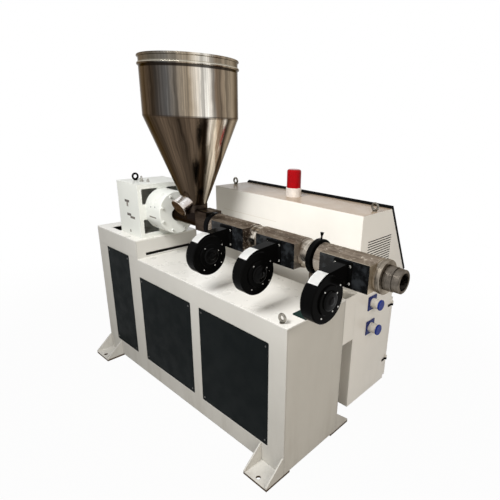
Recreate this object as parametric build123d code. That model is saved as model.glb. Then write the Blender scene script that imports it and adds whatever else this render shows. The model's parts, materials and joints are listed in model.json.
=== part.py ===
from build123d import *
import os
from math import cos, radians, sin, sqrt

# Single-screw plastic extruder with its control cabinet, in millimetres.
# X runs along the barrel towards the die, Y towards the cabinet, Z up.
# The origin is the middle of the four foundation bolts, at floor level.

# Machine base, a welded box of plates
base_length = 1600.0
base_width = 396.0
deck_height = 750.0
drive_deck_rise = 105.0
drive_deck_length = 460.0
base_wall = 6.0
belt_opening_start = 85.0
belt_opening_length = 110.0
belt_opening_width = 304.0
step_slot_width = 288.0
step_slot_height = 17.0
step_slot_rise = 10.0

# Removable panels in the front wall: start from the drive end, length, and drop of the
# top edge below the deck
panel_places = ((103.0, 257.0, 3.0), (465.0, 481.0, 105.0), (1017.0, 481.0, 105.0))
panel_bottom = 114.0
panel_thickness = 3.0
panel_sink = 0.5
panel_ledge = 14.0
panel_corner = 6.0
panel_clearance = 0.6

# Feet, each a pad with two gussets
foot_width = 148.0
foot_reach = 105.0
foot_lap = 44.0
pad_thickness = 12.0
gusset_thickness = 8.0
gusset_top = 107.0
gusset_toe = 6.0
anchor_hole_radius = 11.0
anchor_edge = 23.0

# Gearbox frame and bearing housing
axis_rise = 145.0
gearbox_start = 206.0
gearbox_length = 226.0
gearbox_width = 294.0
gearbox_height = 299.0
gearbox_wall = 14.0
window_from_side = 23.0
window_from_middle = 30.0
window_sill = 22.0
window_head = 26.0
window_from_axis = 43.0
window_corner = 6.0
bore_rim_radius = 74.0
housing_radius = 110.0
housing_rise = 16.0
housing_length = 146.0
housing_edge = 3.0
spigot_radius = 60.0
fit_clearance = 0.1

# Feed section: a slim tube with a boss under the hopper and a block at the barrel
feed_length = 322.0
feed_tube_radius = 34.0
feed_ring_radius = 37.0
feed_ring_length = 8.0
feed_block_length = 92.0
feed_block_half_width = 48.0
feed_block_top_rise = 68.0
feed_block_drop = 36.0
feed_block_edge = 4.0
boss_bottom_rise = 15.0
boss_top_rise = 40.0
throat_radius = 22.0

# Hopper with its neck, and the chute that drains it to the front
neck_radius = 60.0
neck_bore_radius = 40.0
neck_rise = 88.0
chute_rise = 133.5
chute_fall = 30.0
chute_reach = 120.5
chute_radius = 43.0
chute_wall = 2.0
chute_cap_radius = 46.5
chute_cap_length = 9.0
chute_cap_edge = 2.0
hopper_station = 171.5
hopper_radius = 225.5
hopper_outlet_radius = 57.0
hopper_cone_height = 424.0
hopper_drum_height = 260.0
hopper_wall = 2.0
rim_bead_radius = 6.0
lower_bead_drop = 39.0
lower_bead_radius = 7.0

# Barrel and the rings along it
barrel_radius = 45.0
ring_radius = 75.0
inner_ring_radius = 67.0
inner_ring_length = 30.0
inner_gap = 3.0
zone_lengths = (275.0, 252.0, 270.0)
sleeve_lengths = (57.0, 53.0)
sleeve_radius = 60.0
ring_edge = 2.0
sleeve_edge = 1.0
support_ring_length = 25.0
support_gap = 5.0
barrel_flange_hub_radius = 60.0
barrel_flange_hub_length = 12.0
barrel_flange_radius = 66.0
barrel_flange_length = 20.0
barrel_flange_edge = 3.0
adapter_collar_radius = 47.0
adapter_collar_length = 33.0
adapter_groove_radius = 42.0
adapter_groove_length = 3.0
adapter_tip_radius = 44.5
adapter_tip_length = 28.0
adapter_bore_radius = 33.0
adapter_edge = 2.0

# Support under the second ring, and the locking screw in its top, tilted to the back
stand_width = 90.0
stand_foot_width = 130.0
stand_foot_length = 60.0
stand_foot_thickness = 10.0
stand_seat_angle = 40.0
locking_screw_radius = 4.0
locking_screw_seat = 12.0
locking_screw_stem = 12.0
locking_knob_height = 14.0
locking_knob_radius = 8.5
locking_screw_tilt = 7.3

# Heater shrouds with their air boxes
shroud_radius = 64.5
air_box_length = 223.0
air_box_half_height = 54.0
air_box_reach = 80.0
shroud_edge = 3.0

# Side blowers, each in the middle of its air box
blower_axis_reach = 197.0
blower_axis_drop = 64.5
scroll_radius = 90.5
scroll_width = 56.0
scroll_growth = 8.0
scroll_edge = 4.0
spiral_start_angle = 140.0
spiral_middle_angle = 115.0
duct_top_rise = 43.0
duct_bottom_rise = -41.0
flange_half_height = 48.0
flange_width = 80.0
flange_thickness = 6.0
cover_radius = 56.0
cover_thickness = 7.0
cover_edge = 2.0

# Foot plate on the back of the last blower, with the tab that holds it
blower_foot_drop = 75.0
blower_foot_width = 100.0
blower_foot_length = 63.0
blower_foot_thickness = 5.0
blower_tab_width = 80.0
blower_tab_height = 30.0

# Control cabinet on the back of the base
cabinet_gap = 87.0
cabinet_length = 1047.0
cabinet_bottom = 105.0
cabinet_top = 1128.0
cabinet_top_depth = 253.0
desk_depth = 460.0
desk_height = 757.0
lower_depth = 378.0
lower_top = 642.0
cabinet_sheet = 2.0
door_thickness = 18.0
door_sheet = 1.5
door_clearance = 0.5
door_bottom_gap = 20.0
door_top_gap = 22.0
console_thickness = 18.0
console_lip = 5.0
desk_frame = 30.0
louvre_count = 11
louvre_width = 216.0
louvre_height = 5.0
louvre_pitch = 12.5
louvre_top = 996.0
louvre_start = 61.0

# Hinges of the cabinet's right door
hinge_heights = (243.0, 587.0)
hinge_length = 26.0
hinge_radius = 5.0
hinge_offset = 5.5
hinge_inset = 9.0
hinge_leaf = 2.5
hinge_leaf_reach = 30.0
hinge_gap = 0.5
hinge_pin_radius = 2.0
hinge_pin_clearance = 0.05

# Power sockets on the cabinet's end
socket_heights = (522.0, 660.0)
socket_depth = 152.0
socket_flange_side = 74.0
socket_flange_thickness = 5.0
socket_neck_radius = 25.0
socket_neck_length = 42.0
socket_lid_radius = 28.0
socket_lid_thickness = 10.0
socket_lid_edge = 2.0

# Beacon and lifting eyes
beacon_station = 519.0
beacon_depth = 119.0
beacon_base_radius = 42.0
beacon_base_height = 47.0
beacon_base_edge = 3.0
beacon_lens_radius = 38.0
beacon_lens_height = 96.0
beacon_lens_dome = 12.0
eye_ring_radius = 15.5
eye_wire_radius = 5.5
eye_collar_radius = 11.0
eye_collar_height = 4.0
cabinet_eye_inset = 25.0
cabinet_eye_depth = 134.0
deck_eye_inset = 52.0
deck_eye_edge = 25.0
gearbox_eye_station = 64.0
gearbox_eye_edge = 81.0

# Brackets that carry the cabinet, flush with its ends and with the deck
bracket_length = 80.0
bracket_height = 241.0
bracket_wall = 6.0

# Places worked out from the sizes
drive_end = -base_length / 2
die_end = base_length / 2
front_face = -base_width / 2
back_face = base_width / 2
step_face = drive_end + drive_deck_length
drive_deck_height = deck_height + drive_deck_rise
axis_height = drive_deck_height + axis_rise
gearbox_top = drive_deck_height + gearbox_height
neck_top = axis_height + neck_rise
hopper_shoulder = neck_top + hopper_cone_height
hopper_top = hopper_shoulder + hopper_drum_height
gearbox_face = drive_end + gearbox_start + gearbox_length
housing_face = gearbox_face + housing_length
feed_face = housing_face + feed_length
hopper_x = housing_face + hopper_station
zone_1_start = feed_face + inner_ring_length + inner_gap
zone_1_end = zone_1_start + zone_lengths[0]
zone_2_start = zone_1_end + sleeve_lengths[0]
zone_2_end = zone_2_start + zone_lengths[1]
support_ring_start = zone_2_end + sleeve_lengths[1]
zone_3_start = support_ring_start + support_ring_length + support_gap
zone_3_end = zone_3_start + zone_lengths[2]
flange_face = zone_3_end + barrel_flange_hub_length + barrel_flange_length
zone_ends = (zone_1_end, zone_2_end, zone_3_end)
cabinet_face = back_face + cabinet_gap
cabinet_end = die_end
cabinet_start = cabinet_end - cabinet_length
low_align = (Align.MIN, Align.MIN, Align.MIN)
bottom_align = (Align.CENTER, Align.CENTER, Align.MIN)


def block(x_span, y_span, z_span):
    """A box between pairs of limits along X, Y and Z."""
    size = [span[1] - span[0] for span in (x_span, y_span, z_span)]
    return Pos(x_span[0], y_span[0], z_span[0]) * Box(*size, align=low_align)


def drum(x_start, length, radius, y=0.0, z=axis_height):
    """A cylinder that lies along X, by default on the barrel's axis."""
    place = Pos(x_start, y, z) * Rot(0, 90, 0)
    return place * Cylinder(radius, length, align=bottom_align)


def post(x, y, z, radius, height):
    """A cylinder that stands up from the point given."""
    return Pos(x, y, z) * Cylinder(radius, height, align=bottom_align)


def seen_from_die(x, y=0.0, z=0.0):
    """The plane across the barrel at x, whose own X and Y are Y and Z."""
    return Plane((x, y, z), x_dir=(0, 1, 0), z_dir=(1, 0, 0))


def seen_from_front(x=0.0, y=0.0, z=0.0):
    """The plane along the barrel at y, whose own X and Y are X and Z."""
    return Plane((x, y, z), x_dir=(1, 0, 0), z_dir=(0, -1, 0))


def along(face, axis, length):
    """A face drawn out along one of the axes X, Y or Z."""
    return extrude(face, length, dir=axis.direction)


def end_edges(piece, radius):
    """The round edges of a radius at both ends of a drum."""
    return [edge for edge in piece.edges().filter_by(GeomType.CIRCLE)
            if abs(edge.radius - radius) < fit_clearance]


def save(node, piece):
    """Write one sub-part."""
    piece.label = node
    export_step(piece, os.path.join("parts", node + ".step"))


def long_wall(y_span):
    """A long wall of the base, which carries the deck and reaches its top at the drive end."""
    wall = block((drive_end, die_end), y_span, (pad_thickness, deck_height - base_wall))
    return wall + block((drive_end, step_face), y_span, (deck_height - base_wall, deck_height))


def panel_plate(place, grow, y_start, thickness, corner):
    """A panel's plate, grown all round by an amount, from y_start into the base."""
    start, length, top_drop = place
    height = deck_height - top_drop - panel_bottom
    plane = seen_from_front(drive_end + start + length / 2, y_start,
                            panel_bottom + height / 2)
    outline = RectangleRounded(length + 2 * grow, height + 2 * grow, corner)
    return along(plane * outline, Axis.Y, thickness)


def build_base():
    """Walls, decks, panels and feet."""
    inner_front = front_face + base_wall
    inner_back = back_face - base_wall
    front_wall = long_wall((front_face, inner_front))
    for number, place in enumerate(panel_places, 1):
        recess = panel_thickness + panel_sink
        front_wall -= panel_plate(place, panel_clearance, front_face, recess,
                                  panel_corner + panel_clearance)
        front_wall -= panel_plate(place, -panel_ledge, front_face, base_wall, panel_corner)
        panel = panel_plate(place, 0, front_face + panel_sink, panel_thickness, panel_corner)
        save(f"front_panel_{number}", panel)
    save("base_front_wall", front_wall)
    save("base_back_wall", long_wall((inner_back, back_face)))

    across = (inner_front, inner_back)
    drive_wall_top = drive_deck_height - base_wall
    wall_top = deck_height - base_wall
    riser_height = (deck_height, drive_wall_top)
    save("riser_front_wall",
         block((drive_end, step_face), (front_face, inner_front), riser_height))
    save("riser_back_wall",
         block((drive_end, step_face), (inner_back, back_face), riser_height))
    save("base_drive_end_wall",
         block((drive_end, drive_end + base_wall), across, (pad_thickness, drive_wall_top)))
    save("base_die_end_wall",
         block((die_end - base_wall, die_end), across, (pad_thickness, wall_top)))
    save("deck_plate",
         block((step_face, die_end), (front_face, back_face), (wall_top, deck_height)))

    drive_deck = block((drive_end, step_face), (front_face, back_face),
                       (drive_wall_top, drive_deck_height))
    opening_start = drive_end + belt_opening_start
    drive_deck -= block((opening_start, opening_start + belt_opening_length),
                        (-belt_opening_width / 2, belt_opening_width / 2),
                        (drive_wall_top, drive_deck_height))
    save("drive_deck_plate", drive_deck)

    step_plate = block((step_face - base_wall, step_face), across, (wall_top, drive_wall_top))
    slot_bottom = deck_height + step_slot_rise
    step_plate -= block((step_face - base_wall, step_face),
                        (-step_slot_width / 2, step_slot_width / 2),
                        (slot_bottom, slot_bottom + step_slot_height))
    save("deck_step_plate", step_plate)


def build_foot():
    """One foot, for the front face at x = 0 to foot_width, y = 0 outwards to -Y."""
    pad = block((0, foot_width), (-foot_reach, foot_lap), (0, pad_thickness))
    pad -= post(foot_width / 2, anchor_edge - foot_reach, 0, anchor_hole_radius, pad_thickness)
    corners = [(0, pad_thickness), (0, gusset_top), (-gusset_toe, gusset_top),
               (-foot_reach, pad_thickness + gusset_toe), (-foot_reach, pad_thickness)]
    side = seen_from_die(0) * make_face(Polyline(*corners, close=True))
    gusset = along(side, Axis.X, gusset_thickness)
    return pad + gusset + Pos(foot_width - gusset_thickness, 0, 0) * gusset


def build_feet():
    """The four feet, at the corners of the base."""
    foot = build_foot()
    back_foot = mirror(foot, Plane.XZ)
    for side, x in (("left", drive_end), ("right", die_end - foot_width)):
        save(f"foot_front_{side}", Pos(x, front_face, 0) * foot)
        save(f"foot_back_{side}", Pos(x, back_face, 0) * back_foot)


def eyebolt(x, y, z, turn=0.0):
    """A lifting eye that stands at height z, with its hole along Y before it is turned."""
    collar = post(x, y, z, eye_collar_radius, eye_collar_height)
    rise = eye_collar_height + eye_ring_radius + eye_wire_radius / 2
    ring = Rot(0, 0, turn) * Rot(90, 0, 0) * Torus(eye_ring_radius, eye_wire_radius)
    ring = Pos(x, y, z + rise) * ring
    return collar + ring


def build_gearbox():
    """The gearbox frame with its four windows, and the bearing housing."""
    back = drive_end + gearbox_start
    half = gearbox_width / 2
    frame = block((back, gearbox_face), (-half, half), (drive_deck_height, gearbox_top))
    frame -= block((back + gearbox_wall, gearbox_face - gearbox_wall),
                   (-half + gearbox_wall, half - gearbox_wall),
                   (drive_deck_height, gearbox_top - gearbox_wall))
    front_plate = (gearbox_face - gearbox_wall, gearbox_wall)
    window_y = (half - window_from_side + window_from_middle) / 2
    window_width = half - window_from_side - window_from_middle
    lower = (drive_deck_height + window_sill, axis_height - window_from_axis)
    upper = (axis_height + window_from_axis, gearbox_top - window_head)
    rim = drum(*front_plate, bore_rim_radius)
    for bottom, top in (lower, upper):
        outline = RectangleRounded(window_width, top - bottom, window_corner)
        for side in (-1, 1):
            plane = seen_from_die(front_plate[0], side * window_y, (bottom + top) / 2)
            frame -= along(plane * outline, Axis.X, gearbox_wall) - rim
    frame -= drum(*front_plate, spigot_radius + fit_clearance)
    save("gearbox_frame", frame)

    # The housing is a little taller than round
    outline = SlotCenterToCenter(housing_rise, 2 * housing_radius, rotation=90)
    plane = seen_from_die(gearbox_face, 0, axis_height + housing_rise / 2)
    housing = along(plane * outline, Axis.X, housing_length)
    housing = chamfer(housing.faces().sort_by(Axis.X)[-1].edges(), housing_edge)
    housing += drum(gearbox_face - gearbox_wall, gearbox_wall, spigot_radius)
    save("bearing_housing", housing)
    # This one was left turned across the others
    save("gearbox_eyebolt", eyebolt(back + gearbox_eye_station, gearbox_eye_edge - half,
                                    gearbox_top, turn=90))


def chute_place(distance):
    """The place on the drain chute's axis at a distance from the hopper's axis."""
    fall = radians(chute_fall)
    plane = Plane((hopper_x, 0, axis_height + chute_rise), x_dir=(1, 0, 0),
                  z_dir=(0, -cos(fall), -sin(fall)))
    return plane.location * Pos(0, 0, distance)


def hopper_turned(profile):
    """A solid turned about the hopper's axis, from points given as radius and height."""
    return Pos(hopper_x, 0, 0) * revolve(
        seen_from_front() * make_face(Polyline(*profile, close=True)), Axis.Z)


def build_feed():
    """The feed section, with its throat under the hopper."""
    feed = drum(housing_face, feed_length, feed_tube_radius)
    feed += drum(housing_face, feed_ring_length, feed_ring_radius)
    feed_block = block((feed_face - feed_block_length, feed_face),
                       (-feed_block_half_width, feed_block_half_width),
                       (axis_height - feed_block_drop, axis_height + feed_block_top_rise))
    feed += fillet(feed_block.edges().filter_by(Axis.X), feed_block_edge)
    feed += post(hopper_x, 0, axis_height + boss_bottom_rise, neck_radius,
                 boss_top_rise - boss_bottom_rise)
    feed -= post(hopper_x, 0, axis_height + boss_top_rise, neck_radius + fit_clearance,
                 feed_block_top_rise)
    feed -= post(hopper_x, 0, axis_height, throat_radius, boss_top_rise)
    save("feed_section", feed)


def build_hopper():
    """The neck on its boss, the drain chute, and the hopper's cone and drum."""
    seat = axis_height + boss_top_rise
    neck = post(hopper_x, 0, seat, neck_radius, neck_top - seat)
    inner_outlet = hopper_outlet_radius - hopper_wall
    inner_radius = hopper_radius - hopper_wall
    outside = hopper_turned([(0, neck_top), (hopper_outlet_radius, neck_top),
                             (hopper_radius, hopper_shoulder), (0, hopper_shoulder)])
    inside = hopper_turned([(0, neck_top), (inner_outlet, neck_top),
                            (inner_radius, hopper_shoulder), (0, hopper_shoulder)])

    cap_start = chute_reach - chute_cap_length
    chute = chute_place(0) * Cylinder(chute_radius, chute_reach, align=bottom_align)
    cap = Cylinder(chute_cap_radius, chute_cap_length, align=bottom_align)
    cap = chute_place(cap_start) * fillet(cap.edges().filter_by(GeomType.CIRCLE),
                                          chute_cap_edge)
    chute_bore = chute_place(0) * Cylinder(chute_radius - chute_wall, cap_start,
                                           align=bottom_align)
    save("drain_chute", chute + cap - outside - neck - chute_bore)
    neck -= post(hopper_x, 0, seat, neck_bore_radius, neck_top - seat)
    save("hopper_neck", neck - chute_bore)
    save("hopper_cone", outside - inside - chute_bore)

    rim_height = hopper_top - rim_bead_radius
    sheet = post(0, 0, hopper_shoulder, hopper_radius, rim_height - hopper_shoulder)
    sheet -= post(0, 0, hopper_shoulder, inner_radius, rim_height - hopper_shoulder)
    rim = Pos(0, 0, rim_height) * Torus(hopper_radius, rim_bead_radius)
    # The lower bead is pressed outwards, so nothing of it stands inside
    bead = Pos(0, 0, hopper_top - lower_bead_drop) * Torus(hopper_radius, lower_bead_radius)
    bead -= post(0, 0, hopper_shoulder, inner_radius, hopper_drum_height)
    save("hopper_drum", Pos(hopper_x, 0, 0) * (sheet + rim + bead))


def collar_on_barrel(x_start, length, radius, edge):
    """A ring that slides on the barrel."""
    ring = drum(x_start, length, radius)
    ring = chamfer(end_edges(ring, radius), edge)
    return ring - drum(x_start, length, barrel_radius + fit_clearance)


def build_barrel():
    """Barrel tube, its rings and sleeves, and the threaded adapter for the die."""
    barrel = drum(feed_face, flange_face - feed_face, barrel_radius)
    save("barrel_tube", barrel)
    save("inner_ring", collar_on_barrel(feed_face, inner_ring_length, inner_ring_radius, ring_edge))
    for number, (start, length) in enumerate(zip((zone_1_end, zone_2_end), sleeve_lengths), 1):
        save(f"barrel_sleeve_{number}",
             collar_on_barrel(start, length, sleeve_radius, sleeve_edge))

    flange = drum(zone_3_end + barrel_flange_hub_length, barrel_flange_length,
                  barrel_flange_radius)
    flange = fillet(end_edges(flange, barrel_flange_radius), barrel_flange_edge)
    flange += drum(zone_3_end, barrel_flange_hub_length, barrel_flange_hub_radius)
    flange -= drum(zone_3_end, barrel_flange_hub_length + barrel_flange_length,
                   barrel_radius + fit_clearance)
    save("barrel_flange", flange)

    groove_start = flange_face + adapter_collar_length
    tip_start = groove_start + adapter_groove_length
    collar = drum(flange_face, adapter_collar_length, adapter_collar_radius)
    collar = chamfer(end_edges(collar, adapter_collar_radius), adapter_edge)
    tip = drum(tip_start, adapter_tip_length, adapter_tip_radius)
    tip = chamfer(end_edges(tip, adapter_tip_radius), adapter_edge)
    adapter = collar + drum(groove_start, adapter_groove_length, adapter_groove_radius) + tip
    adapter -= drum(flange_face, tip_start + adapter_tip_length - flange_face,
                    adapter_bore_radius)
    save("die_adapter", adapter)


def ring_place(x, radius):
    """The place of the locking screw's axis, at a radius from the barrel's axis."""
    return Pos(x, 0, axis_height) * Rot(-locking_screw_tilt, 0, 0) * Pos(0, 0, radius)


def on_ring(x, radius, size, height):
    """A cylinder on the locking screw's axis that starts at a radius from the barrel's."""
    return ring_place(x, radius) * Cylinder(size, height, align=bottom_align)


def build_support():
    """The support ring, its stand on the deck and the locking screw."""
    ring = collar_on_barrel(support_ring_start, support_ring_length, ring_radius, ring_edge)
    ring_middle = support_ring_start + support_ring_length / 2
    seat = ring_radius - locking_screw_seat
    ring -= on_ring(ring_middle, seat, locking_screw_radius + fit_clearance, ring_radius)
    save("support_ring", ring)

    stem_length = locking_screw_seat + locking_screw_stem
    screw = on_ring(ring_middle, seat, locking_screw_radius, stem_length)
    knob = Cone(locking_screw_radius, locking_knob_radius, locking_knob_height,
                align=bottom_align)
    screw += ring_place(ring_middle, seat + stem_length) * knob
    save("locking_screw", screw)

    stand = block((support_ring_start, support_ring_start + support_ring_length),
                  (-stand_width / 2, stand_width / 2),
                  (deck_height, axis_height - ring_radius * cos(radians(stand_seat_angle))))
    stand += block((ring_middle - stand_foot_length / 2, ring_middle + stand_foot_length / 2),
                   (-stand_foot_width / 2, stand_foot_width / 2),
                   (deck_height, deck_height + stand_foot_thickness))
    stand -= drum(support_ring_start - stand_foot_length,
                  support_ring_length + 2 * stand_foot_length, ring_radius + fit_clearance)
    save("support_stand", stand)


def build_shroud(start, end):
    """A round cover over one heating zone, with the air box on its front side."""
    cover = drum(start, end - start, shroud_radius)
    cover = chamfer(end_edges(cover, shroud_radius), shroud_edge)
    cover += block((end - air_box_length, end), (-air_box_reach, 0),
                   (axis_height - air_box_half_height, axis_height + air_box_half_height))
    return cover - drum(start, end - start, barrel_radius + fit_clearance)


def duct_outline():
    """The blower's spiral and duct, seen along X, about the blower's own axis."""
    duct_end = blower_axis_reach - air_box_reach - flange_thickness
    duct_top = blower_axis_drop + duct_top_rise
    duct_bottom = blower_axis_drop + duct_bottom_rise
    start, middle = (radians(angle) for angle in (spiral_start_angle, spiral_middle_angle))
    middle_radius = scroll_radius + scroll_growth / 3
    top = scroll_radius + scroll_growth
    spiral = ThreePointArc((scroll_radius * cos(start), scroll_radius * sin(start)),
                           (middle_radius * cos(middle), middle_radius * sin(middle)),
                           (0, top))
    bottom_x = sqrt(scroll_radius ** 2 - duct_bottom ** 2)
    duct = Polyline((0, top), (duct_end, duct_top), (duct_end, duct_bottom),
                    (bottom_x, duct_bottom), (0, 0), spiral @ 0)
    return make_face([spiral, duct])


def build_blower(middle):
    """A side blower: scroll, duct and flange on the air box, and its round cover."""
    y = -blower_axis_reach
    z = axis_height - blower_axis_drop
    start = middle - scroll_width / 2
    scroll = drum(start, scroll_width, scroll_radius, y, z)
    scroll = chamfer(end_edges(scroll, scroll_radius), scroll_edge)
    scroll += along(seen_from_die(start + scroll_edge, y, z) * duct_outline(), Axis.X,
                    scroll_width - 2 * scroll_edge)
    flange = block((middle - flange_width / 2, middle + flange_width / 2),
                   (-air_box_reach - flange_thickness, -air_box_reach),
                   (axis_height - flange_half_height, axis_height + flange_half_height))
    cover = drum(start + scroll_width, cover_thickness, cover_radius, y, z)
    outer = [edge for edge in end_edges(cover, cover_radius)
             if edge.center().X > start + scroll_width + cover_thickness / 2]
    return scroll + flange, chamfer(outer, cover_edge)


def build_blower_foot(middle):
    """The plate behind a blower's scroll, with the upright tab that is screwed to it."""
    scroll_back = middle - scroll_width / 2
    top = axis_height - blower_axis_drop - blower_foot_drop
    half = blower_foot_width / 2
    plate = block((scroll_back - blower_foot_length, scroll_back),
                  (-blower_axis_reach - half, -blower_axis_reach + half),
                  (top - blower_foot_thickness, top))
    half = blower_tab_width / 2
    return plate + block((scroll_back - blower_foot_thickness, scroll_back),
                         (-blower_axis_reach - half, -blower_axis_reach + half),
                         (top, top + blower_tab_height))


def build_zones():
    """Shrouds and blowers, one pair for each heating zone."""
    for number, (end, length) in enumerate(zip(zone_ends, zone_lengths), 1):
        save(f"heater_shroud_{number}", build_shroud(end - length, end))
        blower, cover = build_blower(end - air_box_length / 2)
        save(f"blower_{number}", blower)
        save(f"blower_cover_{number}", cover)
    save("blower_foot", build_blower_foot(zone_3_end - air_box_length / 2))


def cabinet_outline(inset):
    """The cabinet's side outline, seen along X, with its walls moved in by inset."""
    near = cabinet_face
    corners = [(near, cabinet_bottom), (near, cabinet_top),
               (near + cabinet_top_depth, cabinet_top), (near + desk_depth, desk_height),
               (near + lower_depth - door_thickness, lower_top),
               (near + lower_depth - door_thickness, cabinet_bottom)]
    outline = make_face(Polyline(*corners, close=True))
    return offset(outline, -inset) if inset else outline


def desk_strip(start, end, outwards, inwards):
    """A strip along the sloping desk, seen along X.

    It runs from start to end, measured down the slope from the cabinet's top, and
    stands outwards and inwards from the slope's surface."""
    run = desk_depth - cabinet_top_depth
    fall = cabinet_top - desk_height
    slope = sqrt(run ** 2 + fall ** 2)
    down_y, down_z = run / slope, -fall / slope
    top_y = cabinet_face + cabinet_top_depth
    corners = [(top_y + down * down_y - out * down_z, cabinet_top + down * down_z + out * down_y)
               for down, out in ((start, -inwards), (end, -inwards),
                                 (end, outwards), (start, outwards))]
    return make_face(Polyline(*corners, close=True))


def build_cabinet_body():
    """The folded sheet body with its desk opening, door opening and louvres."""
    body = along(seen_from_die(cabinet_start) * cabinet_outline(0), Axis.X, cabinet_length)
    inside = seen_from_die(cabinet_start + cabinet_sheet) * cabinet_outline(cabinet_sheet)
    body -= along(inside, Axis.X, cabinet_length - 2 * cabinet_sheet)
    door_face = cabinet_face + lower_depth - door_thickness
    opening_start = cabinet_start + cabinet_length / 2
    body -= block((opening_start + door_bottom_gap, cabinet_end - door_bottom_gap),
                  (door_face - cabinet_sheet, door_face),
                  (cabinet_bottom + 2 * door_bottom_gap, lower_top - 2 * door_top_gap))
    slope = sqrt((desk_depth - cabinet_top_depth) ** 2 + (cabinet_top - desk_height) ** 2)
    desk_opening = desk_strip(desk_frame, slope - desk_frame, cabinet_sheet, 2 * cabinet_sheet)
    body -= along(seen_from_die(cabinet_start + desk_frame) * desk_opening, Axis.X,
                  cabinet_length - 2 * desk_frame)
    for number in range(louvre_count):
        slot_top = louvre_top - number * louvre_pitch
        body -= block((cabinet_end - cabinet_sheet, cabinet_end),
                      (cabinet_face + louvre_start, cabinet_face + louvre_start + louvre_width),
                      (slot_top - louvre_height, slot_top))
    save("cabinet_body", body)


def build_console():
    """The black panel that covers the sloping desk over its whole width."""
    slope = sqrt((desk_depth - cabinet_top_depth) ** 2 + (cabinet_top - desk_height) ** 2)
    panel = desk_strip(-console_lip, slope, console_thickness, 0)
    save("cabinet_console",
         along(seen_from_die(cabinet_start) * panel, Axis.X, cabinet_length))


def door_pan(x_start, x_end):
    """A folded sheet pan that closes half of the cabinet's lower back."""
    face = cabinet_face + lower_depth
    z_span = (cabinet_bottom + door_bottom_gap, lower_top - door_top_gap)
    back = face - door_thickness + door_clearance
    pan = block((x_start, x_end), (back, face), z_span)
    return pan - block((x_start + door_sheet, x_end - door_sheet), (back, face - door_sheet),
                       (z_span[0] + door_sheet, z_span[1] - door_sheet))


def hinge_parts(height):
    """Both halves of one hinge: the body's below, the door's above."""
    axis_x = cabinet_end + hinge_offset
    axis_y = cabinet_face + lower_depth - hinge_inset
    door_back = cabinet_face + lower_depth - door_thickness
    half = hinge_length / 2
    leaf_x = (cabinet_end + hinge_gap, cabinet_end + hinge_gap + hinge_leaf)
    body_z = (height - half, height - hinge_gap / 2)
    door_z = (height + hinge_gap / 2, height + half)
    body_half = block((cabinet_end, leaf_x[1]), (door_back - hinge_leaf_reach, door_back),
                      body_z)
    body_half += block(leaf_x, (door_back, axis_y), body_z)
    body_half += post(axis_x, axis_y, body_z[0], hinge_radius, body_z[1] - body_z[0])
    body_half += post(axis_x, axis_y, body_z[0], hinge_pin_radius, hinge_length)
    door_half = block((cabinet_end, leaf_x[1]),
                      (door_back + door_clearance, axis_y), door_z)
    door_half += post(axis_x, axis_y, door_z[0], hinge_radius, door_z[1] - door_z[0])
    door_half -= post(axis_x, axis_y, door_z[0], hinge_pin_radius + hinge_pin_clearance,
                      hinge_length)
    return body_half, door_half


def build_doors():
    """The hinged right door, the fixed left cover and the hinges."""
    middle = cabinet_start + cabinet_length / 2
    door = door_pan(middle + door_clearance, cabinet_end)
    cover = door_pan(cabinet_start, middle - door_clearance)
    cover = Pos(0, -door_clearance, 0) * cover
    for name, height in zip(("lower", "upper"), hinge_heights):
        body_half, door_half = hinge_parts(height)
        door += door_half
        save(f"cabinet_hinge_{name}", body_half)
    save("cabinet_door", door)
    save("cabinet_cover", cover)


def build_socket(height):
    """A power socket with its square flange, round neck and lid, along X."""
    y = cabinet_face + socket_depth
    half = socket_flange_side / 2
    flange = block((cabinet_end, cabinet_end + socket_flange_thickness),
                   (y - half, y + half), (height - half, height + half))
    neck_start = cabinet_end + socket_flange_thickness
    neck = drum(neck_start, socket_neck_length, socket_neck_radius, y, height)
    lid = drum(neck_start + socket_neck_length, socket_lid_thickness, socket_lid_radius,
               y, height)
    return flange + neck, chamfer(end_edges(lid, socket_lid_radius), socket_lid_edge)


def build_cabinet_fittings():
    """Sockets, beacon, lifting eyes and the brackets to the base."""
    for name, height in zip(("lower", "upper"), socket_heights):
        socket, lid = build_socket(height)
        save(f"socket_{name}", socket)
        save(f"socket_lid_{name}", lid)

    x = cabinet_start + beacon_station
    y = cabinet_face + beacon_depth
    base = post(x, y, cabinet_top, beacon_base_radius, beacon_base_height)
    save("beacon_base", fillet(base.edges().sort_by(Axis.Z)[-1], beacon_base_edge))
    lens = post(x, y, cabinet_top + beacon_base_height, beacon_lens_radius, beacon_lens_height)
    save("beacon_lens", fillet(lens.edges().sort_by(Axis.Z)[-1], beacon_lens_dome))

    eye_y = cabinet_face + cabinet_eye_depth
    save("cabinet_eyebolt_left", eyebolt(cabinet_start + cabinet_eye_inset, eye_y, cabinet_top))
    save("cabinet_eyebolt_right", eyebolt(cabinet_end - cabinet_eye_inset, eye_y, cabinet_top))
    save("deck_eyebolt", eyebolt(die_end - deck_eye_inset, front_face + deck_eye_edge,
                                 deck_height))

    z_span = (deck_height - bracket_height, deck_height)
    for name, start in (("left", cabinet_start), ("right", cabinet_end - bracket_length)):
        x_span = (start, start + bracket_length)
        bracket = block(x_span, (back_face, cabinet_face), z_span)
        bracket -= block((x_span[0] + bracket_wall, x_span[1] - bracket_wall),
                         (back_face + bracket_wall, cabinet_face - bracket_wall), z_span)
        save(f"cabinet_bracket_{name}", bracket)


os.makedirs("parts", exist_ok=True)
build_base()
build_feet()
build_gearbox()
build_feed()
build_hopper()
build_barrel()
build_support()
build_zones()
build_cabinet_body()
build_console()
build_doors()
build_cabinet_fittings()
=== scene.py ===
import json
from math import cos, pi, radians, sin

import bmesh
import bpy
from mathutils import Euler, Matrix, Vector


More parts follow.
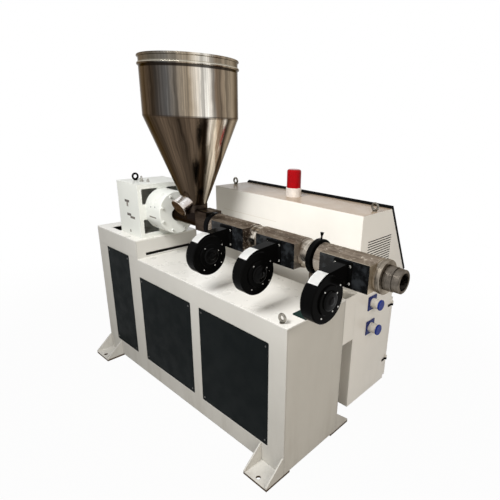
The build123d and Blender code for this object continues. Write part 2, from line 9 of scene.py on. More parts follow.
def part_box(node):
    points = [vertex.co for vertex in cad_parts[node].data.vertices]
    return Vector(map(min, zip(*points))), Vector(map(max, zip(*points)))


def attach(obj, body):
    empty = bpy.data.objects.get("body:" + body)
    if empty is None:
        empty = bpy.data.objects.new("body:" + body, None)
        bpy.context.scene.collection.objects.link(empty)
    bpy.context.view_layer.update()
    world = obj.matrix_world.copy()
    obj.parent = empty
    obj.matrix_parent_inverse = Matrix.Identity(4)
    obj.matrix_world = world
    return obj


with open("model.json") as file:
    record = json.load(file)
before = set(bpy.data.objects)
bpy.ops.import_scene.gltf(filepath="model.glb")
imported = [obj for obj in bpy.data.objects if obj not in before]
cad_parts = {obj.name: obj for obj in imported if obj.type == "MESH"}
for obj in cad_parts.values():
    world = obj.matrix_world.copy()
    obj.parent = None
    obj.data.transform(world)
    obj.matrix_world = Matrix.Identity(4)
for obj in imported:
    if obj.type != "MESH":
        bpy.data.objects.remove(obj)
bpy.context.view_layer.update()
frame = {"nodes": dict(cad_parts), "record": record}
nodes = frame["nodes"]

# Places on the machine, in metres, as the model has them
axis_z = 1.0                       # the barrel's axis
drive_end, die_end = -0.8, 0.8     # the base's two ends
housing_face = drive_end + 0.578   # the bearing housing's face
hopper_x = housing_face + 0.1715   # the hopper's axis
shoulder_z = 1.512                 # where the hopper's cone meets its drum
bead_z = 1.733                     # the drum's lower bead
box_front = -0.080                 # the air boxes' front, under the blowers' flanges
cabinet_face = 0.285               # the cabinet's front wall
cabinet_top = 1.128


def place_camera():
    """The photograph's viewpoint, from the die end's front corner, looking down."""
    place, down, heading, roll = (1.7584, -1.2600, 1.5302), 19.261, 39.844, 2.432
    camera = bpy.data.objects.new("camera", bpy.data.cameras.new("camera"))
    camera.data.lens = 29.68
    camera.data.sensor_width = 36.0
    camera.data.sensor_fit = "HORIZONTAL"
    camera.data.shift_x = -0.109
    camera.data.shift_y = 0.0243
    camera.data.clip_end = 200.0
    turn = Euler((radians(90 - down), 0, radians(heading))).to_matrix().to_4x4()
    camera.matrix_world = (Matrix.Translation(place) @ turn
                           @ Matrix.Rotation(radians(roll), 4, "Z"))
    bpy.context.collection.objects.link(camera)
    bpy.context.scene.camera = camera


def seen(red, green, blue):
    """A colour given as a screen shows it, 0 to 255, made linear."""
    return tuple(((value / 255 + 0.055) / 1.055) ** 2.4 for value in (red, green, blue))


edge_tint = (0.50, 0.465, 0.425, 1)   # what polished metal mirrors at its edges
painted_glint = seen(226, 216, 200)           # painted highlight: bright specks on the worn sheet
grime = (0.22, 0.18, 0.13)            # dirt that gathers on paint towards the floor


# Shader graphs

def node(tree, kind, values=None, **settings):
    """A shader node with its settings and the values of its inputs."""
    made = tree.nodes.new(kind)
    for key, value in settings.items():
        setattr(made, key, value)
    for key, value in (values or {}).items():
        made.inputs[key].default_value = value
    return made


def feed(tree, socket, value):
    """An input linked to another socket, or set to a number or a colour."""
    if isinstance(value, bpy.types.NodeSocket):
        tree.links.new(value, socket)
    elif isinstance(value, (int, float)):
        socket.default_value = value
    else:
        socket.default_value = (*value, 1)


def math(tree, operation, a, b=0.0):
    """One sum of two numbers or sockets."""
    made = node(tree, "ShaderNodeMath", operation=operation)
    feed(tree, made.inputs[0], a)
    feed(tree, made.inputs[1], b)
    return made.outputs[0]


def ramp(tree, factor, stops, smooth=True):
    """A colour ramp from (position, colour) stops; a number stands for a grey."""
    made = node(tree, "ShaderNodeValToRGB")
    made.color_ramp.interpolation = "EASE" if smooth else "LINEAR"
    elements = made.color_ramp.elements
    elements[0].position, elements[1].position = stops[0][0], stops[-1][0]
    for position, _ in stops[1:-1]:
        elements.new(position)
    for element, (_, colour) in zip(elements, stops):
        grey = isinstance(colour, (int, float))
        element.color = (colour, colour, colour, 1) if grey else (*colour, 1)
    tree.links.new(factor, made.inputs[0])
    return made.outputs[0]


def mix(tree, factor, first, second, blend="MIX"):
    """Two colours mixed; the factor and each colour may be a socket or a value."""
    made = node(tree, "ShaderNodeMix", data_type="RGBA", blend_type=blend)
    for number, value in ((0, factor), (6, first), (7, second)):
        feed(tree, made.inputs[number], value)
    return made.outputs[2]


def place_of(tree, scale=(1, 1, 1), shift=(0, 0, 0)):
    """Coordinates in the machine's frame, in metres, stretched and shifted."""
    made = node(tree, "ShaderNodeMapping",
                {"Scale": scale, "Location": [-s * k for s, k in zip(shift, scale)]})
    source = node(tree, "ShaderNodeTexCoord")
    tree.links.new(source.outputs["Object"], made.inputs["Vector"])
    return made.outputs[0]


def axes_of(tree, centre=(0, 0, 0)):
    """X, Y and Z in the machine's frame as three sockets, counted from a centre."""
    made = node(tree, "ShaderNodeSeparateXYZ")
    tree.links.new(place_of(tree, shift=centre), made.inputs[0])
    return made.outputs


def around(tree, centre, along):
    """The angle about an axis through centre, in radians, and the distance along it;
    along is 0 for X and 2 for Z."""
    axes = axes_of(tree, centre)
    first, second = [axes[n] for n in range(3) if n != along]
    return math(tree, "ARCTAN2", second, first), axes[along]


def stretched(tree, first, by_first, second, by_second, third=0.0):
    """A vector from two sockets, each times a number, and a third number as it is."""
    made = node(tree, "ShaderNodeCombineXYZ", {"Z": third})
    for name, value, factor in (("X", first, by_first), ("Y", second, by_second)):
        tree.links.new(math(tree, "MULTIPLY", value, factor), made.inputs[name])
    return made.outputs[0]


def noise(tree, vector, scale, detail=3.0, roughness=0.55):
    """Noise over a vector."""
    made = node(tree, "ShaderNodeTexNoise",
                {"Scale": scale, "Detail": detail, "Roughness": roughness})
    tree.links.new(vector, made.inputs["Vector"])
    return made.outputs[0]


def swayed(tree, value, pattern, amount):
    """A value pushed up and down by a pattern about 0.5."""
    push = math(tree, "MULTIPLY", math(tree, "SUBTRACT", pattern, 0.5), amount)
    return math(tree, "ADD", value, push)


def roughen(tree, shader, pattern, least, most):
    """Roughness that follows a pattern between two values."""
    tree.links.new(ramp(tree, pattern, ((0.3, least), (0.7, most))), shader.inputs["Roughness"])


def bump(tree, shader, height, distance, strength, edge=0.0):
    """Fine relief on a shader, with its depth in metres, and edges that look rounded."""
    made = node(tree, "ShaderNodeBump", {"Strength": strength, "Distance": distance})
    tree.links.new(height, made.inputs["Height"])
    if edge:
        rounded = node(tree, "ShaderNodeBevel", {"Radius": edge}, samples=6)
        tree.links.new(rounded.outputs[0], made.inputs["Normal"])
    tree.links.new(made.outputs[0], shader.inputs["Normal"])


def new_material(name, **values):
    """A principled material with plain values on its own sockets."""
    material = bpy.data.materials.new(name)
    material.use_nodes = True
    tree = material.node_tree
    shader = tree.nodes["Principled BSDF"]
    for key, value in values.items():
        shader.inputs[key.replace("_", " ")].default_value = value
    return material, tree, shader


def within(tree, low, high):
    """1 inside a box of the machine's frame and 0 outside it; None leaves a side open."""
    axes = axes_of(tree)
    inside = None
    for limits, operation in ((low, "GREATER_THAN"), (high, "LESS_THAN")):
        for number, limit in enumerate(limits):
            if limit is not None:
                test = math(tree, operation, axes[number], limit)
                inside = test if inside is None else math(tree, "MULTIPLY", inside, test)
    return inside


def patched(tree, tone, patches):
    """A tone with boxes of other tones on it: low corner, high corner, colour."""
    for low, high, other in patches:
        tone = mix(tree, within(tree, low, high), tone, other)
    return tone


# Kinds of surface

def paint(name, colour, rough=0.35, shade=0.93, peel=1.0, dirt=0.0, coat=0.2, ior=1.5,
          edge=0.0, patches=()):
    """Sprayed paint: orange peel, slow changes of tone, and grime towards the floor."""
    material, tree, shader = new_material(name, Coat_Weight=coat, Coat_Roughness=0.08, IOR=ior)
    slow = noise(tree, place_of(tree), 2.3, 4.0)
    tone = ramp(tree, slow, ((0.3, [c * shade for c in colour]), (0.7, colour)))
    if dirt:
        streaks = noise(tree, place_of(tree, (9, 9, 1.6)), 1.4, 6.0, 0.65)
        low = ramp(tree, axes_of(tree)[2], ((0.0, 1.0), (0.35, 0.25), (0.8, 0.12)))
        amount = math(tree, "MULTIPLY", ramp(tree, streaks, ((0.42, 0.0), (0.75, dirt))), low)
        tone = mix(tree, amount, tone, grime)
    tree.links.new(patched(tree, tone, patches), shader.inputs["Base Color"])
    roughen(tree, shader, noise(tree, place_of(tree), 14.0), rough * 0.85, rough * 1.2)
    bump(tree, shader, noise(tree, place_of(tree), 420.0, 2.0), 0.0004 * peel, 0.35, edge)
    return material


def chute_sheet(name, origin, reach):
    """Polished sheet of the side chute: painted highlight above, painted shade below, and a dark
    cap with a painted highlight on its rim. Its axis leans down towards the front, and reach is
    its length."""
    along, across = (0, -0.866, -0.5), (0, -0.5, 0.866)
    cap_thickness, face_depth = 0.0095, 0.0004
    material, tree, shader = new_material(name, Metallic=1.0, Specular_Tint=edge_tint)
    runs = []
    for direction in (along, across):
        made = node(tree, "ShaderNodeVectorMath", {1: direction}, operation="DOT_PRODUCT")
        tree.links.new(place_of(tree, shift=origin), made.inputs[0])
        runs.append(made.outputs["Value"])
    run, rise = runs
    streaks = noise(tree, place_of(tree), 60.0, 4.0, 0.6)
    # Painted light: bright on the chute's top, dark on its underside
    wavy = math(tree, "ADD", math(tree, "MULTIPLY", rise, 10.0), 0.5)
    tone = ramp(tree, swayed(tree, wavy, streaks, 0.7),
                ((0.10, seen(86, 72, 66)), (0.35, seen(140, 122, 116)),
                 (0.60, seen(208, 200, 196)), (0.85, seen(252, 250, 248))))
    cap = ramp(tree, streaks, ((0.35, seen(50, 38, 32)), (0.65, seen(92, 76, 66))))
    on_cap = math(tree, "GREATER_THAN", run, reach - cap_thickness)
    on_face = math(tree, "GREATER_THAN", run, reach - face_depth)
    # Painted highlight on the cap's rim
    tone = mix(tree, on_cap, tone, seen(226, 218, 210))
    tone = mix(tree, on_face, tone, cap)
    tree.links.new(tone, shader.inputs["Base Color"])
    roughen(tree, shader, streaks, 0.14, 0.3)
    bump(tree, shader, streaks, 0.0004, 0.4)
    return material


def turned_steel(name, dark, light, rough=0.35, rings=1400.0, stain=0.5, relief=0.00008):
    """Turned steel, with fine rings along X and stains; stain is the stains' share."""
    material, tree, shader = new_material(name, Metallic=1.0, Anisotropic=0.5,
                                          Specular_Tint=edge_tint)
    angle, run = around(tree, (0, 0, axis_z), 0)
    rings_seen = noise(tree, stretched(tree, run, rings, angle, 0.5), 1.0, 2.0)
    stains = noise(tree, place_of(tree), 24.0, 5.0, 0.6)
    both = math(tree, "ADD", math(tree, "MULTIPLY", rings_seen, 1 - stain),
                math(tree, "MULTIPLY", stains, stain))
    tree.links.new(ramp(tree, both, ((0.35, dark), (0.65, light))), shader.inputs["Base Color"])
    roughen(tree, shader, stains, rough * 0.7, rough * 1.4)
    bump(tree, shader, rings_seen, relief, 0.5)
    return material


def hopper_sheet(name, stops, lean, bands):
    """Mirror-polished sheet with painted reflections: broad tones round it, from stops of angle
    and tone, with fine streaks, darker towards the neck. lean turns them on the way down. Each
    band runs round at a height: middle, half its height, colour and strength."""
    material, tree, shader = new_material(name, Metallic=1.0, Anisotropic=0.3,
                                          Specular_Tint=edge_tint)
    angle, run = around(tree, (hopper_x, 0, 0), 2)
    depth = math(tree, "SUBTRACT", shoulder_z, run)
    wave = noise(tree, stretched(tree, angle, 3.0, run, 7.0, 1.0), 1.0, 2.0)
    bent = math(tree, "SUBTRACT", angle, math(tree, "MULTIPLY", depth, lean))
    bent = swayed(tree, bent, wave, 0.16)
    turn = math(tree, "ADD", math(tree, "MULTIPLY", bent, 0.5 / pi), 0.5)
    tone = ramp(tree, turn, [((degrees + 180) / 360, seen(*tones[colour]))
                             for degrees, colour in stops], smooth=False)
    streaks = noise(tree, stretched(tree, angle, 26.0, run, 1.2), 1.0, 3.0, 0.6)
    broad = noise(tree, stretched(tree, bent, 9.0, run, 0.8, 4.0), 1.0, 2.0, 0.5)
    for strength, pattern in ((0.7, broad), (0.4, streaks)):
        shades = ramp(tree, pattern, ((0.38, 0.45), (0.5, 0.95), (0.6, 1.3)))
        tone = mix(tree, strength, tone, shades, "MULTIPLY")
    # Painted reflection: darker towards the neck
    darker = ramp(tree, depth, ((0.16, 0.0), (0.40, 0.5)))
    tone = mix(tree, darker, tone, seen(*tones["dark"]))
    for middle, half, colour, strength in bands:
        away = math(tree, "ABSOLUTE", math(tree, "SUBTRACT", run, middle))
        near = ramp(tree, math(tree, "DIVIDE", away, half), ((0.5, strength), (1.0, 0.0)))
        tone = mix(tree, near, tone, seen(*colour))
    tree.links.new(tone, shader.inputs["Base Color"])
    marks = noise(tree, stretched(tree, angle, 2.0, run, 900.0), 1.0, 2.0)
    roughen(tree, shader, marks, 0.10, 0.22)
    bump(tree, shader, marks, 0.00004, 0.3)
    return material


def worn_sheet(name, colour, light, front=None, rough=0.45, patches=()):
    """Dull steel sheet along the barrel, with fine lengthwise streaks and stains. front, for the
    air boxes, is two darker tones for their front; the rest then gets painted highlights as
    small glints."""
    front_rough, front_metal, front_depth = 0.16, 0.35, 0.0006
    material, tree, shader = new_material(name, Metallic=1.0, Specular_Tint=edge_tint)
    streaks = noise(tree, place_of(tree, (2.0, 300.0, 300.0)), 1.0, 3.0, 0.6)
    stains = noise(tree, place_of(tree), 9.0, 5.0, 0.7)
    both = math(tree, "ADD", math(tree, "MULTIPLY", streaks, 0.45),
                math(tree, "MULTIPLY", stains, 0.55))
    tone = patched(tree, ramp(tree, both, ((0.38, colour), (0.60, light))), patches)
    spread = ramp(tree, stains, ((0.3, rough * 0.75), (0.7, rough * 1.25)))
    if front:
        # Painted highlights: rare bright specks over the sheet
        glints = noise(tree, place_of(tree, (0.35, 1.0, 1.0)), 150.0, 3.0, 0.6)
        tone = mix(tree, ramp(tree, glints, ((0.59, 0.0), (0.67, 0.8))), tone, painted_glint)
        mottle = ramp(tree, noise(tree, place_of(tree), 24.0, 4.0, 0.6),
                      ((0.42, front[0]), (0.66, front[1])))
        on_front = within(tree, (None, None, None), (None, box_front + front_depth, None))
        tone = mix(tree, on_front, tone, mottle)
        spread = mix(tree, on_front, spread, (front_rough, front_rough, front_rough))
        tree.links.new(ramp(tree, on_front, ((0.0, 1.0), (1.0, front_metal))),
                       shader.inputs["Metallic"])
    tree.links.new(tone, shader.inputs["Base Color"])
    tree.links.new(spread, shader.inputs["Roughness"])
    bump(tree, shader, streaks, 0.00002, 0.3)
    return material


def plastic(name, colour, rough=0.25, coat=0.3, patches=(), **values):
    """Moulded plastic with a faint grain and a slow change of tone."""
    material, tree, shader = new_material(name, Coat_Weight=coat, Coat_Roughness=0.1, **values)
    slow = noise(tree, place_of(tree), 30.0, 3.0)
    tone = ramp(tree, slow, ((0.3, [c * 0.85 for c in colour]), (0.7, colour)))
    tree.links.new(patched(tree, tone, patches), shader.inputs["Base Color"])
    roughen(tree, shader, slow, rough * 0.8, rough * 1.25)
    bump(tree, shader, noise(tree, place_of(tree), 900.0, 2.0), 0.00005, 0.5)
    return material


# Colours, as they render in plain light
# The base's walls and its deck carry one paint: the deck's copy below is lighter, as painted
# light on its top, and the walls' copy darker, as painted shade on their sides
white = seen(208, 206, 200)
lit_deck_white = seen(231, 229, 223)
cool_white = seen(224, 226, 220)
cream = seen(238, 235, 228)
black = (0.003, 0.003, 0.003)
# Dark primer inside the base, darkened further as painted shade
shaded_inside = (0.10, 0.09, 0.08)

# Painted reflections: a few broad tones that polished sheet mirrors in a workshop, and
# roughly where they stand round the hopper, in degrees from the barrel's direction; noise
# breaks them into streaks
tones = {"dark": (60, 50, 40), "brown": (100, 85, 70), "grey": (90, 88, 86),
         "tan": (155, 140, 120), "pale": (215, 205, 190), "bright": (250, 245, 235)}
drum_reflections = ((-180, "tan"), (-110, "brown"), (-80, "dark"), (-60, "grey"), (-35, "tan"),
              (-18, "bright"), (-5, "brown"), (15, "tan"), (40, "dark"), (110, "pale"),
              (180, "tan"))
cone_reflections = ((-180, "brown"), (-90, "dark"), (-70, "brown"), (-50, "dark"), (-35, "brown"),
              (-20, "dark"), (-12, "pale"), (8, "pale"), (11, "dark"), (25, "tan"),
              (60, "dark"), (120, "tan"), (180, "brown"))

# Boxes where a surface has another tone: low corner, high corner, colour
# Painted shade, with dark primer, inside the closed base and inside the drive end's raised part
base_inside_shade = ((-0.7945, -0.1925, 0.0), (0.7945, 0.1925, 0.7445), shaded_inside)
drive_inside_shade = ((-0.7945, -0.1925, 0.7445), (-0.3455, 0.1925, 0.8495), shaded_inside)
# The cabinet's lid is a darker tan: partly dust, partly a painted reflection of a dark ceiling
lid_dust_and_shade = ((None, None, cabinet_top - 0.0005), (None, None, None), seen(170, 150, 128))
# Painted shade standing in for a fold line across the cabinet's front
crease_shade = ((-0.17, None, 1.0005), (0.26, cabinet_face + 0.0005, 1.0025), seen(214, 206, 192))
pads = ((None, None, None), (None, None, 0.011), seen(92, 78, 64))
gear_side, housing_side = -0.1465, -0.09
# Painted shade standing in for small slots on the gearbox's side, which are not cut: dark bars
# with greyer parts beside them
gear_slot_shade = (
    ((-0.520, None, 1.042), (-0.470, gear_side, 1.056), seen(76, 68, 62)),
    ((-0.503, None, 1.018), (-0.484, gear_side, 1.042), seen(126, 118, 110)),
    ((-0.505, None, 0.966), (-0.462, gear_side, 0.981), seen(76, 68, 62)),
    ((-0.472, None, 0.954), (-0.421, gear_side, 0.968), seen(96, 88, 80)),
    ((-0.491, None, 0.870), (-0.477, gear_side, 0.885), seen(110, 104, 96)))
# Painted shade of a slot on the bearing housing's side, which is not cut, and two grey dots
housing_marks = (
    ((-0.330, None, 0.981), (-0.262, housing_side, 0.988), seen(104, 94, 84)),
    ((-0.318, None, 1.035), (-0.308, housing_side, 1.043), seen(150, 150, 148)),
    ((-0.277, None, 1.039), (-0.267, housing_side, 1.047), seen(150, 150, 148)))
# Painted light and shade on the barrel's shrouds: painted highlights on end faces, on the lower
# parts between boxes and on the top edge of the last air box's front; painted shade on one end
# face
shroud_light_and_shade = (
    ((1.0692, None, None), (None, None, None), seen(200, 186, 164)),
    ((0.7160, None, None), (0.7175, None, None), seen(172, 162, 152)),
    ((0.4070, None, None), (0.4085, None, None), seen(84, 74, 66)),
    ((0.80, None, 1.0525), (1.07, -0.074, None), seen(190, 180, 164)),
    ((0.133, None, None), (0.150, None, 0.99), seen(176, 164, 152)),
    ((0.800, None, None), (0.846, None, 1.01), seen(186, 176, 164)))
# Painted shade low on the feed section's drive side, and two painted highlights along the feed
# block's top
feed_light_and_shade = (
    ((None, None, None), (0.007, None, 1.05), seen(34, 28, 25)),
    ((0.030, -0.03, 1.062), (0.085, -0.022, None), seen(150, 138, 124)),
    ((0.030, 0.0, 1.062), (0.085, 0.012, None), seen(128, 116, 104)))
socket_rim = ((die_end - 0.02, None, None), (die_end + 0.0055, None, None), seen(20, 36, 104))

# Bands round the hopper: painted shade under the drum's lower bead, dark welds at the
# shoulder, a lighter painted reflection above the bead and a painted highlight on its top
drum_bands = ((bead_z - 0.0115, 0.007, (28, 22, 18), 0.9),
              (shoulder_z + 0.002, 0.005, (58, 48, 40), 0.6),
              (bead_z + 0.020, 0.022, (160, 152, 134), 0.2),
              (bead_z + 0.004, 0.005, (220, 214, 198), 0.55))
cone_bands = ((shoulder_z - 0.002, 0.006, (70, 58, 46), 0.5),)

machine_paint = paint("machine_paint", white, rough=0.45, dirt=0.2, coat=0.0, ior=1.1,
                      edge=0.005, patches=(base_inside_shade, drive_inside_shade, pads))
# The deck's lighter copy of the machine paint: painted light on its top
lit_deck_paint = paint("lit_deck_paint", lit_deck_white, rough=0.3, coat=0.25, edge=0.005,
                   patches=(base_inside_shade, drive_inside_shade))
gearbox_paint = paint("gearbox_paint", cool_white, rough=0.35, coat=0.1, ior=1.3, edge=0.003,
                      patches=gear_slot_shade)
housing_paint = paint("housing_paint", cool_white, rough=0.3, coat=0.1, ior=1.35, edge=0.003,
                      patches=housing_marks)
cabinet_paint = paint("cabinet_paint", cream, dirt=0.12, edge=0.003,
                      patches=(lid_dust_and_shade, crease_shade))
panel_paint = paint("panel_grey", seen(23, 27, 28), rough=0.5, shade=0.8, peel=2.0, coat=0.0,
                    ior=1.08)
black_paint = paint("black_paint", black, rough=0.14, shade=0.7, peel=0.5, coat=0.0, ior=1.07)
gloss_black = paint("gloss_black", black, rough=0.07, shade=0.7, peel=0.3, coat=0.0, ior=1.13)
foot_green = paint("foot_green", seen(30, 48, 44), rough=0.4, coat=0.0, ior=1.1)
drum_steel = hopper_sheet("drum_steel", drum_reflections, 0.0, drum_bands)
cone_steel = hopper_sheet("cone_steel", cone_reflections, 0.5, cone_bands)
shroud_steel = worn_sheet("shroud_steel", seen(100, 89, 79), seen(156, 143, 129),
                          (seen(18, 19, 20), seen(50, 53, 56)), patches=shroud_light_and_shade)
barrel_steel = turned_steel("barrel_steel", seen(132, 122, 110), seen(222, 214, 202),
                            rough=0.22, rings=45.0, stain=0.12, relief=0.00002)
flange_steel = turned_steel("flange_steel", seen(96, 88, 78), seen(172, 162, 148), rough=0.3,
                            rings=160.0, stain=0.3)
adapter_steel = turned_steel("adapter_steel", seen(66, 60, 54), seen(134, 126, 116))
stand_steel = turned_steel("stand_steel", seen(60, 52, 44), seen(124, 114, 102))
feed_steel = worn_sheet("feed_steel", seen(40, 33, 29), seen(80, 70, 62), rough=0.35,
                        patches=feed_light_and_shade)
chute_steel = chute_sheet("chute_steel", (hopper_x, 0, 1.1335), 0.1205)
zinc = turned_steel("zinc", seen(150, 148, 142), seen(228, 226, 220), rough=0.25, rings=300.0)
screw_steel = turned_steel("screw_steel", seen(52, 52, 52), seen(132, 132, 130), rough=0.4,
                           rings=300.0)
eye_steel = turned_steel("eye_steel", seen(70, 66, 56), seen(170, 166, 156), rough=0.3,
                         rings=300.0)
socket_grey = plastic("socket_grey", seen(226, 222, 214), coat=0.0, patches=(socket_rim,),
                      IOR=1.2)
socket_blue = plastic("socket_blue", seen(28, 52, 146), coat=0.0, IOR=1.2)
beacon_white = plastic("beacon_white", seen(222, 214, 206))
beacon_red = plastic("beacon_red", seen(158, 8, 16), rough=0.12, coat=0.0, IOR=1.16)
paper = paint("paper", seen(255, 255, 253), rough=0.5, shade=0.99)

slot_materials = {
    "machine_paint": machine_paint, "cabinet_paint": cabinet_paint, "panel_grey": panel_paint,
    "polished_steel": shroud_steel, "turned_steel": adapter_steel, "black_paint": black_paint,
    "stand_steel": stand_steel, "zinc": zinc, "socket_grey": socket_grey,
    "socket_blue": socket_blue, "beacon_white": beacon_white, "beacon_red": beacon_red}
own_materials = {
    "deck_plate": lit_deck_paint, "drive_deck_plate": lit_deck_paint, "gearbox_frame": gearbox_paint,
    "bearing_housing": housing_paint, "blower_foot": foot_green, "hopper_cone": cone_steel,
    "hopper_drum": drum_steel, "hopper_neck": feed_steel, "feed_section": feed_steel,
    "drain_chute": chute_steel, "barrel_tube": barrel_steel, "barrel_sleeve_1": barrel_steel,
    "barrel_sleeve_2": barrel_steel, "barrel_flange": flange_steel,
    "cabinet_eyebolt_left": eye_steel, "cabinet_eyebolt_right": eye_steel,
    "deck_eyebolt": eye_steel}


def dress_nodes():
    """Every CAD node takes the material of its slot, or its own."""
    for part in frame["record"]["subparts"]:
        name = part["node"]
        wanted = own_materials.get(name, slot_materials[part["material_slot"]])
        mesh = nodes[name].data
        if not mesh.materials:
            mesh.materials.append(wanted)
        for number in range(len(mesh.materials)):
            mesh.materials[number] = wanted


# Shapes

def as_object(name, mesh, material):
    """A finished bmesh as an object in the scene."""
    data = bpy.data.meshes.new(name)
    mesh.to_mesh(data)
    mesh.free()
    data.materials.append(material)
    made = bpy.data.objects.new(name, data)
    bpy.context.collection.objects.link(made)
    return made


def piece(name, mesh, material, body="frame"):
    """A finished bmesh as an object that rides on a body."""
    made = as_object(name, mesh, material)
    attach(made, body)


def lathe(mesh, profile, matrix, segments, smooth=True):
    """Points (radius, height) turned about the matrix's own Z; a radius of 0 closes an end."""
    rings = []
    for radius, height in profile:
        if radius < 1e-7:
            rings.append([mesh.verts.new(matrix @ Vector((0, 0, height)))])
            continue
        rings.append([mesh.verts.new(matrix @ Vector((radius * cos(2 * pi * n / segments),
                                                      radius * sin(2 * pi * n / segments),
                                                      height))) for n in range(segments)])
    for low, high in zip(rings, rings[1:]):
        for n in range(segments):
            after = (n + 1) % segments
            corners = [low[n % len(low)], low[after % len(low)],
                       high[after % len(high)], high[n % len(high)]]
            corners = [c for k, c in enumerate(corners) if c not in corners[:k]]
            if len(corners) > 2:
                mesh.faces.new(corners).smooth = smooth


def facing(point, direction, spin=0.0):
    """A matrix at point whose Z looks along a direction."""
    turn = Vector(direction).to_track_quat("Z", "Y").to_matrix().to_4x4()
    return Matrix.Translation(point) @ turn @ Matrix.Rotation(spin, 4, "Z")


def socket_screw(mesh, matrix, radius, height):
    """A cap screw's head with its round edge and hexagon socket."""
    lathe(mesh, ((radius, 0), (radius, height * 0.85), (radius * 0.88, height),
                 (radius * 0.52, height)), matrix, 20)
    lathe(mesh, ((radius * 0.52, height), (radius * 0.48, height * 0.45), (0, height * 0.4)),
          matrix, 6, smooth=False)


def dome_screw(mesh, matrix, radius, height):
    """A low dome head with its recess as a round dimple."""
    lathe(mesh, ((radius, 0), (radius * 0.97, height * 0.35), (radius * 0.78, height * 0.8),
                 (radius * 0.4, height), (radius * 0.3, height * 0.97), (0, height * 0.55)),
          matrix, 16)


def hexagon_bolt(mesh, matrix, radius, height):
    """A washer and a chamfered hexagon head."""
    washer = height * 0.18
    lathe(mesh, ((radius * 1.35, 0), (radius * 1.35, washer), (0, washer)), matrix, 24)
    lathe(mesh, ((radius, washer), (radius, height * 0.86), (radius * 0.86, height),
                 (0, height)), matrix, 6, smooth=False)


def panel_screws():
    """Four screws in the corners of each front panel."""
    inset_x, inset_z, radius, height = 0.018, 0.022, 0.0052, 0.0025
    mesh = bmesh.new()
    for number in (1, 2, 3):
        low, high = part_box(f"front_panel_{number}")
        for x in (low.x + inset_x, high.x - inset_x):
            for z in (low.z + inset_z, high.z - inset_z):
                dome_screw(mesh, facing((x, low.y, z), (0, -1, 0)), radius, height)
    piece("panel_screws", mesh, screw_steel)


def housing_screws():
    """Eight cap screws in a circle on the bearing housing's face."""
    first, circle, middle_z = 23, 0.1, axis_z + 0.008
    radius, height = 0.0075, 0.008
    mesh = bmesh.new()
    for number in range(8):
        turn = radians(first + 45 * number)
        spot = (housing_face, circle * cos(turn), middle_z + circle * sin(turn))
        socket_screw(mesh, facing(spot, (1, 0, 0), turn), radius, height)
    piece("housing_screws", mesh, gearbox_paint)


def blower_faces():
    """Each blower's screws and flange bolts, its black hub and its bare rating label."""
    # Radius and angle about the fan's axis; a screw outside the cover sits on the scroll
    cover_radius = 0.056
    face_screws = ((0.077, 30), (0.058, -1), (0.075, -36), (0.069, -121), (0.049, -68),
                   (0.051, 128), (0.044, 25))
    # The flange's middle behind the scroll's face, its bolts' half spacing, its thickness
    flange_back, flange_half, flange_thickness = 0.028, 0.033, 0.006
    hub = ((0.038, 0), (0.038, 0.002), (0.0372, 0.0045), (0.0352, 0.0066), (0.0325, 0.0078),
           (0.029, 0.0084), (0.0165, 0.0088), (0.0155, 0.0092), (0.0145, 0.0102),
           (0.0125, 0.0112), (0.0095, 0.0116), (0.0, 0.0118))
    label_ends = ((131, 87), (130, 85), (131, 91))
    for number, ends in enumerate(label_ends, 1):
        low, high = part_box(f"blower_cover_{number}")
        y, z = (low.y + high.y) / 2, (low.z + high.z) / 2
        scroll, face = low.x, high.x
        mesh = bmesh.new()
        for radius, angle in face_screws:
            turn = radians(angle)
            spot = (scroll if radius > cover_radius else face, y + radius * cos(turn),
                    z + radius * sin(turn))
            dome_screw(mesh, facing(spot, (1, 0, 0)), 0.0036, 0.0028)
        for side in (-flange_half, flange_half):
            for rise in (-flange_half, flange_half):
                spot = (scroll - flange_back + side, box_front - flange_thickness, axis_z + rise)
                hexagon_bolt(mesh, facing(spot, (0, -1, 0), 0.3), 0.0042, 0.004)
        piece(f"blower_screws_{number}", mesh, zinc)

        mesh = bmesh.new()
        lathe(mesh, hub, facing((face, y, z), (1, 0, 0)), 48)
        piece(f"blower_hub_{number}", mesh, gloss_black)

        mesh = bmesh.new()
        label(mesh, scroll, y, z, *ends)
        piece(f"blower_label_{number}", mesh, paper)


def label(mesh, front, y, z, start, end):
    """A thin bare label wrapped over the scroll's rim, between two angles."""
    width, rise, inset, thickness, steps = 0.046, 0.0006, 0.0045, 0.0005, 12
    grid = []
    for step in range(steps + 1):
        degrees = start + (end - start) * step / steps
        turn, radius = radians(degrees), scroll_rim(degrees) + rise
        grid.append([mesh.verts.new((front - inset - width * k, y + radius * cos(turn),
                                     z + radius * sin(turn))) for k in (0, 1)])
    for a, b in zip(grid, grid[1:]):
        mesh.faces.new((a[0], a[1], b[1], b[0])).smooth = True
    bmesh.ops.solidify(mesh, geom=mesh.faces[:], thickness=thickness)


def scroll_rim(degrees):
    """The scroll's radius at an angle, where it grows towards its duct."""
    start, sweep, radius, growth = 140, 50, 0.0905, 0.008
    grown = max(0.0, min(1.0, (start - degrees) / sweep))
    return radius + growth * grown ** 1.5


def gearbox_fittings():
    """A breather and an oil plug on the gearbox's top."""
    mesh = bmesh.new()
    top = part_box("gearbox_frame")[1].z
    for x, y, radius, height in ((-0.470, -0.062, 0.009, 0.018), (-0.440, -0.040, 0.007, 0.010)):
        seat = facing((x, y, top), (0, 0, 1))
        hexagon_bolt(mesh, seat, radius, height)
        lathe(mesh, ((radius * 0.7, height), (radius * 0.7, height * 1.5),
                     (radius * 0.4, height * 1.7), (0, height * 1.7)), seat, 20)
    piece("gearbox_fittings", mesh, zinc)


# The room

def looked_at(tree):
    """1 where a thing is seen, directly, in a reflection or through glass; 0 where it only
    lights others."""
    path = node(tree, "ShaderNodeLightPath")
    return math(tree, "MAXIMUM", math(tree, "MAXIMUM", path.outputs["Is Camera Ray"],
                                      path.outputs["Is Glossy Ray"]),
                path.outputs["Is Transmission Ray"])


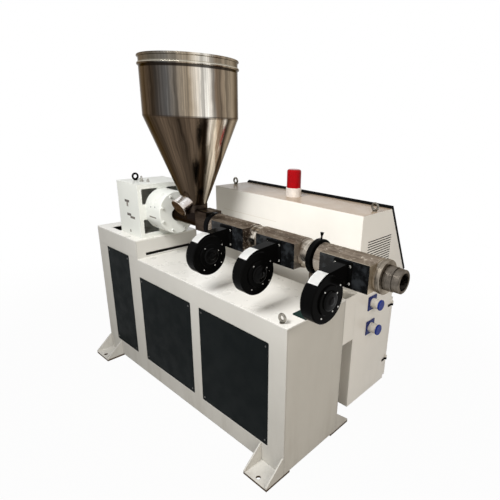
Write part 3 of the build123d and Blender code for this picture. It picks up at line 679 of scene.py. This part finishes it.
def build_floor():
    """A floor that looks white and keeps a little of the object's shadow."""
    half_size = 60
    material, tree, shader = new_material("floor", Roughness=0.9,
                                          Base_Color=(0.28, 0.26, 0.23, 1))
    glow = node(tree, "ShaderNodeEmission", {"Color": (1, 1, 1, 1), "Strength": 1.0})
    both = node(tree, "ShaderNodeMixShader")
    away = node(tree, "ShaderNodeVectorMath", operation="LENGTH")
    tree.links.new(place_of(tree), away.inputs[0])
    # The shadow fades between 1.2 and 3.2 metres from the middle
    glowing = ramp(tree, math(tree, "MULTIPLY", away.outputs["Value"], 0.25),
                   ((0.3, 0.97), (0.8, 1.0)))
    tree.links.new(math(tree, "MULTIPLY", looked_at(tree), glowing), both.inputs[0])
    tree.links.new(shader.outputs[0], both.inputs[1])
    tree.links.new(glow.outputs[0], both.inputs[2])
    tree.links.new(both.outputs[0], tree.nodes["Material Output"].inputs[0])
    mesh = bmesh.new()
    bmesh.ops.create_grid(mesh, x_segments=1, y_segments=1, size=half_size)
    floor = as_object("floor", mesh, material)


def build_world():
    """Plain light from all sides; seen directly or in a reflection, it is white."""
    light, shown = (0.22, 0.216, 0.206), (1, 1, 1)
    world = bpy.data.worlds.new("room")
    bpy.context.scene.world = world
    world.use_nodes = True
    tree = world.node_tree
    background = tree.nodes["Background"]
    background.inputs["Strength"].default_value = 1.0
    tree.links.new(mix(tree, looked_at(tree), light, shown), background.inputs["Color"])


def lamp(name, place, target, power, size, colour=(1, 1, 1), mirrored=False, width=None):
    """A soft lamp, in watts and metres: square, or narrow where it has a width. Polished
    surfaces show it only where it is mirrored."""
    light = bpy.data.lights.new(name, "AREA")
    light.energy = power
    light.shape = "RECTANGLE"
    light.size, light.size_y = size, width or size
    light.color = colour
    made = bpy.data.objects.new(name, light)
    aim = (Vector(target) - Vector(place)).to_track_quat("-Z", "Y")
    made.matrix_world = Matrix.Translation(place) @ aim.to_matrix().to_4x4()
    made.visible_glossy = mirrored
    bpy.context.collection.objects.link(made)


place_camera()
bpy.context.scene.view_settings.view_transform = "Standard"
dress_nodes()
panel_screws()
housing_screws()
blower_faces()
gearbox_fittings()
build_floor()
build_world()
lamp("key", (0.6, -1.5, 2.5), (0.2, 0.1, 0.8), power=60.0, size=0.9)
lamp("tube", (0.3, -1.3, 2.6), (0.2, 0.1, 0.8), power=4.0, size=1.2, mirrored=True, width=0.06)
lamp("end", (3.2, -0.6, 1.8), (0.6, 0.1, 0.6), power=42.0, size=1.6, colour=(1.0, 0.93, 0.84))
